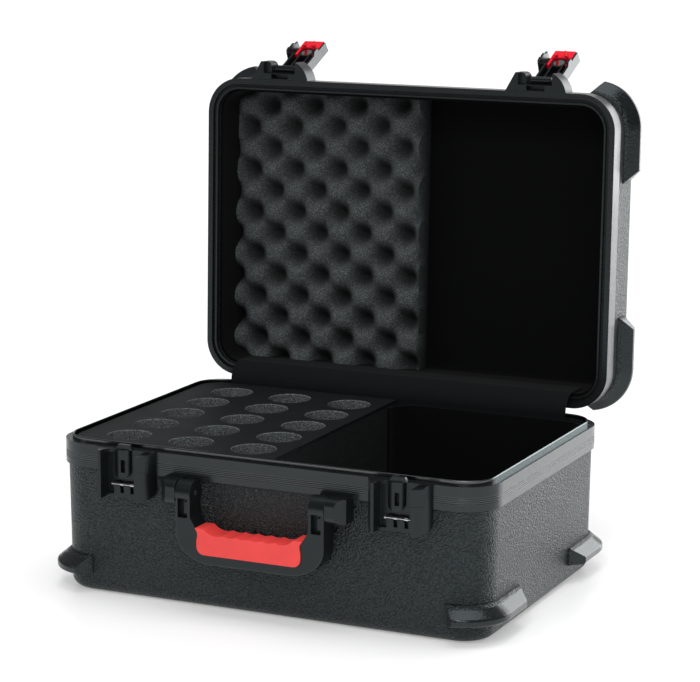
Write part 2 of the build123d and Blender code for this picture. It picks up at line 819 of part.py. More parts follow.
def grip_outline(grow):
    """The grip's rounded outline, seen from the front, without its finger grooves."""
    return Pos(0, grip_low + grip_height / 2) * RectangleRounded(
        grip_length + 2 * grow, grip_height + 2 * grow, grip_end + grow)


def slope_outline(grow, high):
    """The space between the two slopes, from the grip up to a height."""
    inner = handle_width / 2 - handle_arm + grow
    grip_top = grip_low + grip_height
    foot = inner - slant_width
    return make_face(Polyline(
        (-foot, grip_top - slant_height / 2), (-foot, grip_top), (-inner, grip_top + slant_height),
        (-inner, high), (inner, high), (inner, grip_top + slant_height), (foot, grip_top),
        (foot, grip_top - slant_height / 2), close=True))


def make_bail():
    half = handle_width / 2
    near = handle_clear
    far = near + handle_thick
    window = slope_outline(0, handle_pivot_height + 2 * handle_head_radius)
    window += grip_outline(fit_gap)
    body = front_plate(bail_outline(), near, far)
    body = fillet(body.edges().group_by(Axis.Y)[0].filter_by(
        lambda e: e.center().Z < handle_pivot_height - 1), handle_edge)
    body -= front_plate(window, 0, far + 1)
    for side in (-1, 1):
        middle = side * (half - handle_arm / 2)
        body += rod(handle_head_radius, middle - handle_arm / 2, middle + handle_arm / 2,
                    front - handle_pivot_proud, handle_pivot_height)
        slot_top = handle_pivot_height - handle_slot_drop
        slot = Pos(middle, slot_top - handle_slot_height / 2) * Rectangle(
            handle_slot_width, handle_slot_height)
        body -= front_plate(slot, far - handle_slot_depth, far + 1)
        inset = handle_slot_width / 2 - slot_block_width / 2 - 1
        insert = Pos(middle + inset, slot_top - handle_slot_height / 2) * Rectangle(
            slot_block_width, slot_block_height)
        body += front_plate(insert, far - handle_slot_depth - 1,
                            far - handle_slot_depth + slot_block_depth)
        body -= rod(handle_pin_radius + running_gap, middle - handle_arm, middle + handle_arm,
                    front - handle_pivot_proud, handle_pivot_height)
    return Pos(handle_shift, 0, 0) * body


def make_grip():
    """A rubber sleeve on the bar, with finger grooves, its ends turned up on the slopes."""
    top = grip_low + grip_height
    face = grip_outline(0) & Pos(0, top - grip_height) * Rectangle(2 * grip_length, 2 * grip_height)
    flares = slope_outline(-fit_gap, top + grip_flare) & Pos(0, top) * Rectangle(
        2 * grip_length, 2 * grip_flare)
    grooved = finger_grooves * finger_pitch
    flares -= Pos(0, top + grip_flare) * Rectangle(grooved, 2 * grip_flare)
    face += flares
    for index in range(finger_grooves):
        x = (index - (finger_grooves - 1) / 2) * finger_pitch
        rise = (finger_radius ** 2 - (finger_pitch / 2) ** 2) ** 0.5
        face -= Pos(x, top + rise) * Circle(finger_radius)
    near = handle_clear
    body = front_plate(face, near, near + handle_thick + grip_proud)
    return Pos(handle_shift, 0, 0) * body


def make_handle_mount(side):
    """A rounded block on the shell beside the bail's head, sloped at its outer end."""
    inner = handle_width / 2 + mount_gap
    outer = inner + mount_width
    wall = shell_inset + handle_drop * tan(radians(draft_angle)) - fit_gap
    facet = Polyline(
        (inner, wall), (inner, -mount_proud), (outer - mount_facet, -mount_proud),
        (outer, mount_facet_depth - mount_proud), (outer, wall), close=True)
    low = handle_pivot_height - mount_height / 2
    body = extrude(Pos(0, front, low) * make_face(facet), mount_height)
    ends = body.edges().filter_by(Axis.X).group_by(Axis.Y)[0]
    body = fillet(ends, mount_round)
    body -= block(inner - 1, outer + 1, front - fit_gap, back,
                  base_height - base_band - fit_gap, base_height)
    body -= rod(handle_pin_radius + running_gap, inner - 1, outer - 2 * fit_gap,
                front - handle_pivot_proud, handle_pivot_height)
    if side < 0:
        body = mirror(body, Plane.YZ)
    return Pos(handle_shift, 0, 0) * body


def make_handle_pin(side):
    inner = handle_width / 2 - handle_arm
    outer = handle_width / 2 + mount_gap + mount_width - 3 * fit_gap
    low, high = sorted((side * inner, side * outer))
    return Pos(handle_shift, 0, 0) * rod(
        handle_pin_radius, low, high, front - handle_pivot_proud, handle_pivot_height
    )


# ---------------------------------------------------------------- all the nodes
parts = {
    "base_shell": make_base_shell(),
    "base_frame": make_base_frame(),
    "lid_shell": make_lid_shell(),
    "lid_frame": make_lid_frame(),
    "lid_seal": make_lid_seal(),
    "mic_foam_block": make_foam_block(),
    "mic_foam_top_sheet": make_top_sheet(),
    "compartment_lining": make_compartment_lining(),
    "lid_lining": make_lid_lining(),
    "egg_crate_foam": make_egg_crate(),
    "hinge_flap_base": make_flap_base(),
    "hinge_flap_lid": make_flap_lid(),
    "base_hinge_rivets": hinge_rivets(base_height - hinge_leaf_reach / 2 - 2),
    "lid_hinge_rivets": [opened(rivet) for rivet in hinge_rivets(lid_parting + 16)],
    "handle_bail": make_bail(),
    "handle_grip": make_grip(),
}
for side_name, x in hinge_places.items():
    parts["base_hinge_leaf_" + side_name] = hinge_half(x, 0, False)
    parts["lid_hinge_leaf_" + side_name] = opened(hinge_half(x, 1, True))
    parts["hinge_pin_" + side_name] = make_hinge_pin(x)
for side_name, x in latch_places.items():
    place = Pos(x, 0, 0)
    parts["latch_receiver_" + side_name] = place * make_receiver()
    parts["latch_striker_" + side_name] = place * make_striker()
    parts["latch_bracket_" + side_name] = opened(place * make_bracket())
    parts["latch_pin_" + side_name] = opened(place * make_pivot_pin())
    parts["latch_lever_" + side_name] = flung(place * make_lever())
    parts["latch_release_" + side_name] = flung(place * make_release())
    parts["latch_lock_" + side_name] = flung(place * make_lock())
for side_name, side in (("left", -1), ("right", 1)):
    parts["handle_mount_" + side_name] = make_handle_mount(side)
    parts["handle_pin_" + side_name] = make_handle_pin(side)

os.makedirs("parts", exist_ok=True)
for name, shape in parts.items():
    solids = shape if isinstance(shape, list) else [shape]
    export_step(Compound(children=[s for piece in solids for s in piece.solids()]),
                f"parts/{name}.step")
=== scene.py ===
"""Looks of an open microphone case: finishes for the moulded and metal pieces, and the foam,
the linings and the hinge flap as soft goods."""
import json
from math import atan2, cos, pi, radians, sin

import bmesh
import bpy
from mathutils import Matrix, Vector, noise


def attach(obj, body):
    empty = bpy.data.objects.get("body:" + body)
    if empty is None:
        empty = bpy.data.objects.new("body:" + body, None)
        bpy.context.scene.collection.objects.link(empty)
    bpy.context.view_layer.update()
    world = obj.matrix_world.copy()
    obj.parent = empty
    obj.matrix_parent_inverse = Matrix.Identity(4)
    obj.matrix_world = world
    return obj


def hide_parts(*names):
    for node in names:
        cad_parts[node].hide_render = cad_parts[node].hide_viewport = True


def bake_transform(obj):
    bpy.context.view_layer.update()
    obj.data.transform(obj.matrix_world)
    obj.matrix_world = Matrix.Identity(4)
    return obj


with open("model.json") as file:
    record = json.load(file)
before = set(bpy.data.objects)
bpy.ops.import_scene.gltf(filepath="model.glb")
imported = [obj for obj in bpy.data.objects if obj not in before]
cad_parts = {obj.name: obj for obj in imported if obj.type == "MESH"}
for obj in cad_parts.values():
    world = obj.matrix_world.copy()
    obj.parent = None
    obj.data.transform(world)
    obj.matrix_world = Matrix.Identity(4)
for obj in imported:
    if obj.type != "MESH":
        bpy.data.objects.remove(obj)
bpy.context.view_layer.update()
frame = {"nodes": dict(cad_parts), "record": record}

NODES = frame["nodes"]
MM = 0.001

# ---------------------------------------------------------------- sizes, in millimetres
# The lid's pieces are placed as on the closed case, and then opened.
CASE_WIDTH = 520.0
CASE_DEPTH = 364.0
CORNER = 42.0                    # radius of the frames' corners
BASE_HEIGHT = 170.0              # floor to the parting face
LID_TOP = 256.0                  # top of the closed lid
SHELL_WALL = 4.0
LINING = 3.0
FIT = 0.3                        # between pieces that are laid in or on each other
NEAR = 0.01                      # places nearer than this are the same
LID_WEB_TOP = 178.4              # metal that the lid's lining stands on
FOAM_EDGE = 9.0                  # round where the foam and linings meet the shells
HINGE_Y, HINGE_Z = 187.0, 173.5
LID_OPEN = 91.6                  # degrees

INNER_INSET = 13.1               # frames' face to the face of the linings
INNER_X = CASE_WIDTH / 2 - INNER_INSET
INNER_Y = CASE_DEPTH / 2 - INNER_INSET
INNER_CORNER = CORNER - INNER_INSET

SHELL_FACE, BUMPER_FACE = -1.5, 2.0  # past the frames' face: beyond the shell, well onto a bumper
BASE_RIDGES = (157.5, 151.5, 2.0)    # first and last ridge of a frame, and their pitch
LID_RIDGES = (189.0, 179.0, 5.0)

BLOCK_WIDTH = 251.0
BLOCK_BACK = 166.6
BLOCK_TOP = 172.0
BLOCK_STEP = 6.0                 # of the grid that the block and its sheet are made on
SHEET_HEIGHT = 4.0
SHEET_GLUE = 0.02                # from the block to its sheet
SHEET_UNEVEN = 0.35
SHEET_SLACK = 0.4                # left above the sheet for its unevenness
SHEET_WAVE = 22                  # per metre
DROP_RADIUS = 24.5
DROP_SIDES = 72
DROP_FLOOR = 40.0
DROP_COLUMNS, DROP_ROWS = 3, 5
DROP_PITCH = (77.7, 61.9)
DROP_FIRST = (55.6, 40.0)        # from the block's left and front faces
DROP_FLARE = 0.9                 # rolled edge round each drop in the top sheet
DROP_PAST, SHEET_PAST, FLARE_PAST = 5.0, 3.0, 2.0  # cutters, past the block and the sheet

CRATE_WIDTH = 245.0
CRATE_STEP = 2.4
CRATE_SLAB = 8.0                 # foam left under the dimples
CRATE_HEIGHT = 37.6
CRATE_PITCH = 58.5               # between peaks in a row
CRATE_ROW = 26.2                 # between rows, each half a pitch aside
CRATE_TURN = 2.9                 # degrees
CRATE_DIMPLE = (-106.6, -20.6)   # middle of one of the dimples
CRATE_FULLNESS = 1.8             # above 1, peaks are wider than dimples
CRATE_UNSHADED = (CRATE_HEIGHT - CRATE_SLAB) / 1.15  # over the slab, where the painted shade of the dimples has faded out
CRATE_SLACK = 1.5                # left over the peaks for their unevenness
CRATE_UNEVEN = ((1.4, 26, 0), (0.5, 9, 9))  # height, length and layer of each unevenness
CRATE_FLAT_SHARE = 0.3           # of the unevenness in the dimples

FLAP_LEFT, FLAP_RIGHT = -217.0, 217.0
FLAP_THICK = 1.6
FLAP_SLACK = 0.4                 # left beside the flap, between the wall and the linings
FLAP_DROP = 34.0                 # glued to the base's back wall
FLAP_RISE = 30.0                 # glued inside the lid
FLAP_GLUED_STEPS, FLAP_BEND_STEPS, FLAP_COLUMNS = 8, 20, 120
FLAP_RIPPLE = 0.9                # at the middle of the bend
FLAP_RIPPLE_LENGTH = 30.0
FLAP_RIPPLE_SHARE = 0.22         # of the flap's width, to either side of its middle


# ---------------------------------------------------------------- view and light
CAMERA_AZIMUTH = 24.794          # degrees round from straight in front
CAMERA_ELEVATION = 11.109
CAMERA_DISTANCE = 2.8083         # metres from the point looked at
CAMERA_TARGET = Vector((0.0199, 0.0, 0.2737))
CAMERA_ROLL = -0.228
CAMERA_LENS, CAMERA_SENSOR = 128.905, 36
CAMERA_SEES = (0.1, 50)          # metres


def make_camera():
    azimuth, elevation = radians(CAMERA_AZIMUTH), radians(CAMERA_ELEVATION)
    back = Vector((sin(azimuth) * cos(elevation), -cos(azimuth) * cos(elevation),
                   sin(elevation)))
    data = bpy.data.cameras.new("view")
    data.lens = CAMERA_LENS
    data.sensor_width = CAMERA_SENSOR
    data.clip_start, data.clip_end = CAMERA_SEES
    camera = bpy.data.objects.new("view", data)
    bpy.context.scene.collection.objects.link(camera)
    roll = Matrix.Rotation(radians(-CAMERA_ROLL), 3, "Z")
    turn = (-back).to_track_quat("-Z", "Y").to_matrix() @ roll
    place = CAMERA_TARGET + back * CAMERA_DISTANCE
    camera.matrix_world = Matrix.Translation(place) @ turn.to_4x4()
    bpy.context.scene.camera = camera


def lamp(name, place, aim, width, height, watts):
    """A white rectangular lamp, in metres, turned to face the point it aims at."""
    data = bpy.data.lights.new(name, "AREA")
    data.shape = "RECTANGLE"
    data.size, data.size_y = width, height
    data.energy = watts
    light = bpy.data.objects.new(name, data)
    bpy.context.scene.collection.objects.link(light)
    light.location = place
    light.rotation_euler = (Vector(aim) - Vector(place)).to_track_quat("-Z", "Y").to_euler()


def make_lights():
    lamp("top_softbox", (0.2, -0.1, 2.6), (0, 0, 0.2), 2.0, 1.6, 24)
    lamp("back_softbox", (1.5, 2.5, 0.9), (0.1, 0, 0.25), 2.0, 1.8, 45)
    lamp("left_softbox", (-2.2, -1.6, 1.4), (0, 0, 0.2), 1.0, 1.6, 5)
    lamp("front_softbox", (1.2, -2.7, 1.7), (0.1, 0, 0.2), 1.0, 0.8, 13)
    lamp("spark_lamp", (0.5, -2.0, 2.0), (0.1, 0, 0.1), 0.3, 0.3, 10)


WORLD_DIFFUSE = 0.85
WORLD_FRONT = 0.05               # what gloss sees towards the front
WORLD_SIDE = 0.22                # to the sides
WORLD_BACK = 0.85                # and towards the white wall at the back
SIDE_BEGINS, SIDE_FULL = -0.6, 0.1   # of a direction, from -1 in front to 1 at the back
WALL_BEGINS, WALL_FULL = 0.72, 0.86


def make_world():
    """White to the camera, even light on the case, and a graded room in what shines."""
    world = bpy.data.worlds.new("studio")
    bpy.context.scene.world = world
    world.use_nodes = True
    tree = world.node_tree
    tree.nodes.clear()
    rays = node(tree, "LightPath")
    place = node(tree, "TexCoord").outputs["Generated"]
    depth = node(tree, "SeparateXYZ", Vector=place).outputs["Y"]
    side = node(tree, "MapRange", Value=depth, From_Min=SIDE_BEGINS, From_Max=SIDE_FULL,
                To_Min=WORLD_FRONT, To_Max=WORLD_SIDE)
    wall = node(tree, "MapRange", Value=depth, From_Min=WALL_BEGINS, From_Max=WALL_FULL,
                To_Min=0.0, To_Max=WORLD_BACK - WORLD_SIDE)
    gloss = calc(tree, "ADD", side.outputs[0], wall.outputs[0])
    shine = node(tree, "Mix", Factor_Float=rays.outputs["Is Glossy Ray"],
                 A_Float=WORLD_DIFFUSE, B_Float=gloss)
    seen = node(tree, "Mix", Factor_Float=rays.outputs["Is Camera Ray"],
                A_Float=shine.outputs[0], B_Float=1.0)
    light = node(tree, "Background", Strength=seen.outputs[0])
    out = tree.nodes.new("ShaderNodeOutputWorld")
    tree.links.new(light.outputs[0], out.inputs["Surface"])


# ---------------------------------------------------------------- shader node groups
def group(name, inputs, outputs):
    """An empty node group with float inputs (name, default) and float outputs (name)."""
    tree = bpy.data.node_groups.new(name, "ShaderNodeTree")
    for title, value in inputs:
        socket = tree.interface.new_socket(title, in_out="INPUT", socket_type="NodeSocketFloat")
        socket.default_value = value
    for title in outputs:
        tree.interface.new_socket(title, in_out="OUTPUT", socket_type="NodeSocketFloat")
    return tree, tree.nodes.new("NodeGroupInput"), tree.nodes.new("NodeGroupOutput")


def node(tree, kind, **settings):
    """A node with its properties and its sockets set by name; a socket given is linked."""
    made = tree.nodes.new("ShaderNode" + kind)
    for title, value in settings.items():
        if hasattr(made, title) and title not in made.inputs:
            setattr(made, title, value)
    for title, value in settings.items():
        key = title.replace("_", " ").lower()
        found = [s for s in made.inputs if s.name.lower() == key or s.identifier == title]
        if not found:
            continue
        if isinstance(value, bpy.types.NodeSocket):
            tree.links.new(value, found[0])
        else:
            found[0].default_value = value
    return made


def calc(tree, operation, first, second=0.0, clamp=False):
    """The result of a Math node on two values or sockets."""
    made = tree.nodes.new("ShaderNodeMath")
    made.operation = operation
    made.use_clamp = clamp
    for socket, value in zip(made.inputs, (first, second)):
        if isinstance(value, bpy.types.NodeSocket):
            tree.links.new(value, socket)
        else:
            socket.default_value = value
    return made.outputs[0]


MIX_FACTOR, MIX_FIRST, MIX_SECOND = 0, 6, 7  # a Mix node's sockets for colours
MIX_RESULT = 2


def mix_colour(tree, factor, first, second):
    """From the first colour to the second; each is three numbers or a socket."""
    made = tree.nodes.new("ShaderNodeMix")
    made.data_type = "RGBA"
    for place, value in ((MIX_FACTOR, factor), (MIX_FIRST, first), (MIX_SECOND, second)):
        if isinstance(value, bpy.types.NodeSocket):
            tree.links.new(value, made.inputs[place])
        else:
            made.inputs[place].default_value = (*value, 1)
    return made.outputs[MIX_RESULT]


def closed_place(tree, of_lid):
    """Object coordinates; for the open lid's pieces, turned back to the closed case."""
    place = node(tree, "TexCoord").outputs["Object"]
    if not of_lid:
        return place
    hinge = Vector((0, HINGE_Y, HINGE_Z)) * MM
    turn = Matrix.Rotation(radians(LID_OPEN), 3, "X")
    back = node(tree, "Mapping", Vector=place, Rotation=(radians(LID_OPEN), 0, 0),
                Location=hinge - turn @ hinge)
    return back.outputs[0]


def per_metre(tree, size):
    """A texture's scale for features of a size in millimetres."""
    return calc(tree, "DIVIDE", 1 / MM, size)


PEBBLE_WARP_SCALE, PEBBLE_WARP = 260.0, 0.003  # per metre, and metres
PEBBLE_VALLEY = 1.4              # how soon a dome falls into the valley round it
PEBBLE_FINE = 0.5                # height of the fine grain, of a dome's


def pebble_group():
    """Moulded pebble grain: rounded bumps with valleys between them, and faint shade changes."""
    tree, given, out = group("pebble_grain", [("Bump size", 2.0), ("Patch size", 60.0)],
                             ["Height", "Valley", "Patch"])
    place = node(tree, "TexCoord").outputs["Object"]
    cells = per_metre(tree, given.outputs["Bump size"])
    warp = node(tree, "TexNoise", Vector=place, Scale=PEBBLE_WARP_SCALE, Detail=2.0)
    bent = node(tree, "VectorMath", operation="MULTIPLY_ADD")
    tree.links.new(warp.outputs["Color"], bent.inputs[0])
    bent.inputs[1].default_value = (PEBBLE_WARP,) * 3
    tree.links.new(place, bent.inputs[2])
    bumps = node(tree, "TexVoronoi", Vector=bent.outputs[0], Scale=cells, feature="SMOOTH_F1",
                 Smoothness=0.4)
    fine = node(tree, "TexNoise", Vector=place, Scale=cells, Detail=2.0)
    valley = calc(tree, "MULTIPLY", bumps.outputs["Distance"], PEBBLE_VALLEY, True)
    dome = calc(tree, "SUBTRACT", 1.0, valley)
    height = calc(tree, "ADD", dome, calc(tree, "MULTIPLY", fine.outputs[0], PEBBLE_FINE))
    patches = per_metre(tree, given.outputs["Patch size"])
    patch = node(tree, "TexNoise", Vector=place, Scale=patches, Detail=3.0)
    tree.links.new(height, out.inputs["Height"])
    tree.links.new(valley, out.inputs["Valley"])
    tree.links.new(patch.outputs[0], out.inputs["Patch"])
    return tree


def grain_group():
    """Fine even grain with a slow change over the surface, for satin plastic, rubber and metal."""
    tree, given, out = group("fine_grain", [("Grain size", 0.4), ("Patch size", 40.0)],
                             ["Height", "Patch"])
    place = node(tree, "TexCoord").outputs["Object"]
    scale = per_metre(tree, given.outputs["Grain size"])
    grain = node(tree, "TexNoise", Vector=place, Scale=scale, Detail=2.0, Roughness=0.6)
    patches = per_metre(tree, given.outputs["Patch size"])
    patch = node(tree, "TexNoise", Vector=place, Scale=patches, Detail=4.0)
    tree.links.new(grain.outputs[0], out.inputs["Height"])
    tree.links.new(patch.outputs[0], out.inputs["Patch"])
    return tree


SPECK_FINER = 1.7                # specks, finer than cells
CELL_SHARE, SPECK_SHARE = 0.6, 0.6
PORE, WALL = 0.35, 0.85          # where a pore's dark ends and a cell wall's light begins


def foam_group():
    """Open-cell foam: small dark pores between bright cell walls, with finer specks."""
    tree, given, out = group("foam_cells", [("Cell size", 1.2)], ["Height", "Cells"])
    place = node(tree, "TexCoord").outputs["Object"]
    scale = per_metre(tree, given.outputs["Cell size"])
    cells = node(tree, "TexVoronoi", Vector=place, Scale=scale, feature="F1")
    finer = calc(tree, "MULTIPLY", scale, SPECK_FINER)
    speck = node(tree, "TexNoise", Vector=place, Scale=finer, Detail=3.0, Roughness=0.7)
    mixed = calc(tree, "ADD", calc(tree, "MULTIPLY", cells.outputs["Distance"], CELL_SHARE),
                 calc(tree, "MULTIPLY", speck.outputs[0], SPECK_SHARE))
    tree.links.new(mixed, out.inputs["Height"])
    lifted = node(tree, "MapRange", Value=mixed, From_Min=PORE, From_Max=WALL)
    tree.links.new(lifted.outputs[0], out.inputs["Cells"])
    return tree


DRAWN_OUT = (0.02, 0.02, 1.0)    # lines are this much longer along the frame than across it
SMUDGE_SCALE = 30.0


def brushed_group():
    """Extruded metal: long faint lines round the case, and soft smudges."""
    tree, given, out = group("drawn_lines", [("Line size", 0.6)], ["Lines", "Smudge"])
    place = node(tree, "TexCoord").outputs["Object"]
    drawn = node(tree, "Mapping", Vector=place, Scale=DRAWN_OUT)
    scale = per_metre(tree, given.outputs["Line size"])
    lines = node(tree, "TexNoise", Vector=drawn.outputs[0], Scale=scale, Detail=2.0)
    smudge = node(tree, "TexNoise", Vector=place, Scale=SMUDGE_SCALE, Detail=4.0)
    tree.links.new(lines.outputs[0], out.inputs["Lines"])
    tree.links.new(smudge.outputs[0], out.inputs["Smudge"])
    return tree


GROUP_MAKERS = {
    "pebble_grain": pebble_group, "fine_grain": grain_group,
    "foam_cells": foam_group, "drawn_lines": brushed_group,
}
GROUPS = {}


def use(tree, name, **values):
    """A placed node group, made on first use, with its own values."""
    if name not in GROUPS:
        GROUPS[name] = GROUP_MAKERS[name]()
    made = tree.nodes.new("ShaderNodeGroup")
    made.node_tree = GROUPS[name]
    for title, value in values.items():
        made.inputs[title.replace("_", " ")].default_value = value
    return made


# ---------------------------------------------------------------- finishes
COOL, COOL_METAL = (0.88, 1.0, 1.03), (0.90, 1.0, 1.02)  # what dark pieces tint their shine with
WHITE = (1, 1, 1)


def finish_of(name, rough=0.5, metal=0.0, level=0.5, tint=WHITE):
    """A new material with one Principled shader: (material, node tree, shader)."""
    made = bpy.data.materials.new(name)
    made.use_nodes = True
    shader = made.node_tree.nodes["Principled BSDF"]
    shader.inputs["Roughness"].default_value = rough
    shader.inputs["Metallic"].default_value = metal
    shader.inputs["Specular IOR Level"].default_value = level
    shader.inputs["Specular Tint"].default_value = (*tint, 1)
    return made, made.node_tree, shader


def bump(tree, shader, height, strength, depth, edges=0.0):
    """A bump of a depth in millimetres; edges are softened over a radius, to catch the light."""
    made = node(tree, "Bump", Height=height, Strength=strength, Distance=depth * MM)
    if edges:
        softened = node(tree, "Bevel", Radius=edges * MM)
        tree.links.new(softened.outputs[0], made.inputs["Normal"])
    tree.links.new(made.outputs[0], shader.inputs["Normal"])


def vary(tree, shader, factor, low, high):
    """Roughness between two values."""
    made = node(tree, "MapRange", Value=factor, To_Min=low, To_Max=high)
    tree.links.new(made.outputs[0], shader.inputs["Roughness"])


SHELL_GRAIN, SHELL_PATCH = 2.1, 70.0         # millimetres
# painted shade: the valleys between the grain's domes take a far darker colour than the domes
SHELL_DOME, SHELL_VALLEY_SHADE = (0.036, 0.045, 0.046), (0.0015, 0.0022, 0.0024)
SHELL_ROUGH = (0.28, 0.38)
BUMPER_COLOUR, BUMPER_COLOURED = (0.011, 0.0125, 0.013), 0.8
BUMPER_ROUGH = 0.20
BUMPER_WORN = 0.92                           # share of the grain that is worn off


def pebbled_plastic(name, of_lid):
    """Moulded shell: pebble grain all over with painted shade in its valleys, worn nearly smooth
    on the rub bumpers.
    """
    made, tree, shader = finish_of(name, level=0.40, tint=(0.86, 1.0, 1.03))
    grain = use(tree, "pebble_grain", Bump_size=SHELL_GRAIN, Patch_size=SHELL_PATCH)
    place = node(tree, "SeparateXYZ", Vector=closed_place(tree, of_lid))
    beyond = []
    for axis, size in (("X", CASE_WIDTH), ("Y", CASE_DEPTH)):
        straight = calc(tree, "SUBTRACT", calc(tree, "ABSOLUTE", place.outputs[axis]),
                        (size / 2 - CORNER) * MM)
        beyond.append(calc(tree, "MAXIMUM", straight, 0.0))
    around = node(tree, "CombineXYZ", X=beyond[0], Y=beyond[1])
    reach = node(tree, "VectorMath", operation="LENGTH", Vector=around.outputs[0])
    proud = node(tree, "MapRange", Value=reach.outputs["Value"],
                 From_Min=(CORNER + SHELL_FACE) * MM,
                 From_Max=(CORNER + BUMPER_FACE) * MM).outputs[0]
    # painted shade: darker in the grain's valleys
    tone = mix_colour(tree, grain.outputs["Valley"], SHELL_DOME, SHELL_VALLEY_SHADE)
    coloured = calc(tree, "MULTIPLY", proud, BUMPER_COLOURED)
    tone = mix_colour(tree, coloured, tone, BUMPER_COLOUR)
    tree.links.new(tone, shader.inputs["Base Color"])
    rough = node(tree, "MapRange", Value=grain.outputs["Patch"], To_Min=SHELL_ROUGH[0],
                 To_Max=SHELL_ROUGH[1])
    worn = node(tree, "Mix", Factor_Float=proud, A_Float=rough.outputs[0], B_Float=BUMPER_ROUGH)
    tree.links.new(worn.outputs[0], shader.inputs["Roughness"])
    kept = calc(tree, "SUBTRACT", 1.0, calc(tree, "MULTIPLY", proud, BUMPER_WORN))
    height = calc(tree, "MULTIPLY", grain.outputs["Height"], kept)
    bump(tree, shader, height, strength=1.0, depth=1.1, edges=1.2)
    return made


def satin_plastic(name, colour, rough=(0.30, 0.42), level=0.5, tint=COOL):
    """Smooth moulded plastic or rubber with a faint unevenness."""
    made, tree, shader = finish_of(name, level=level, tint=tint)
    grain = use(tree, "fine_grain", Grain_size=0.45, Patch_size=35.0)
    tone = mix_colour(tree, grain.outputs["Patch"], [c * 0.85 for c in colour],
                      [min(1.0, c * 1.2) for c in colour])
    tree.links.new(tone, shader.inputs["Base Color"])
    vary(tree, shader, grain.outputs["Patch"], *rough)
    bump(tree, shader, grain.outputs["Height"], strength=0.12, depth=0.06, edges=0.6)
    return made


METAL_DARK, METAL_LIGHT = (0.003, 0.004, 0.0043), (0.014, 0.017, 0.0175)  # of the drawn lines
# painted highlight along the crest of each of the frame's ribs
METAL_RIDGE_HIGHLIGHT = (0.10, 0.112, 0.115)
METAL_BARE = (0.11, 0.115, 0.117)
METAL_ROUGH = (0.17, 0.27)


def anodised_metal(name, of_lid, level, ridges):
    """Dark anodised frame with drawn lines and painted highlights along its ridges; the base's
    tongue is bare.
    """
    first, last, pitch = ridges
    made, tree, shader = finish_of(name, level=level, tint=COOL_METAL)
    lines = use(tree, "drawn_lines", Line_size=0.7)
    tone = mix_colour(tree, lines.outputs["Lines"], METAL_DARK, METAL_LIGHT)
    place = node(tree, "SeparateXYZ", Vector=closed_place(tree, of_lid))
    height = calc(tree, "DIVIDE", place.outputs["Z"], MM)
    steps = calc(tree, "DIVIDE", calc(tree, "SUBTRACT", height, first), pitch)
    wave = calc(tree, "COSINE", calc(tree, "MULTIPLY", steps, 2 * pi))
    ridged = calc(tree, "MULTIPLY", calc(tree, "LESS_THAN", height, first + pitch / 2),
                  calc(tree, "GREATER_THAN", height, last - pitch / 2))
    # painted highlight: a light band on each rib's crest
    ridge_highlight = calc(tree, "MULTIPLY", calc(tree, "MULTIPLY", wave, -0.5, True), ridged)
    tone = mix_colour(tree, ridge_highlight, tone, METAL_RIDGE_HIGHLIGHT)
    if not of_lid:
        bare = calc(tree, "GREATER_THAN", height, BASE_HEIGHT + FIT)
        tone = mix_colour(tree, bare, tone, METAL_BARE)
        tree.links.new(bare, shader.inputs["Metallic"])
    tree.links.new(tone, shader.inputs["Base Color"])
    vary(tree, shader, lines.outputs["Smudge"], *METAL_ROUGH)
    bump(tree, shader, lines.outputs["Lines"], strength=0.10, depth=0.04, edges=0.5)
    return made


def plated_steel(name, colour, rough):
    """Bright plated metal, a little smudged."""
    made, tree, shader = finish_of(name, metal=1.0)
    grain = use(tree, "fine_grain", Grain_size=0.6, Patch_size=12.0)
    tone = mix_colour(tree, grain.outputs["Patch"], [c * 0.8 for c in colour], colour)
    tree.links.new(tone, shader.inputs["Base Color"])
    vary(tree, shader, grain.outputs["Patch"], rough * 0.8, rough * 1.3)
    return made


def foam(name, dark, bright, cell, depth, hollow_shade=None):
    """Open-cell foam; where a mesh has the attribute "rise" and a hollow colour is given, shade is
    painted into its hollows.
    """
    made, tree, shader = finish_of(name, rough=0.95, level=0.15)
    cells = use(tree, "foam_cells", Cell_size=cell)
    tone = mix_colour(tree, cells.outputs["Cells"], dark, bright)
    if hollow_shade:
        rise = node(tree, "Attribute", attribute_name="rise").outputs["Fac"]
        # painted shade: the hollows take the darker hollow colour, by how low they lie
        tone = mix_colour(tree, rise, hollow_shade, tone)
    tree.links.new(tone, shader.inputs["Base Color"])
    bump(tree, shader, cells.outputs["Height"], strength=0.8, depth=depth)
    return made


def lining_cloth(name, colour):
    """Fine-grained cloth with a trace of sheen."""
    made, tree, shader = finish_of(name, rough=0.9, level=0.1)
    grain = use(tree, "fine_grain", Grain_size=0.8, Patch_size=50.0)
    tone = mix_colour(tree, grain.outputs["Height"], [c * 0.6 for c in colour],
                      [c * 1.5 for c in colour])
    tree.links.new(tone, shader.inputs["Base Color"])
    shader.inputs["Sheen Weight"].default_value = 0.03
    shader.inputs["Sheen Roughness"].default_value = 0.5
    bump(tree, shader, grain.outputs["Height"], strength=0.3, depth=0.2)
    return made


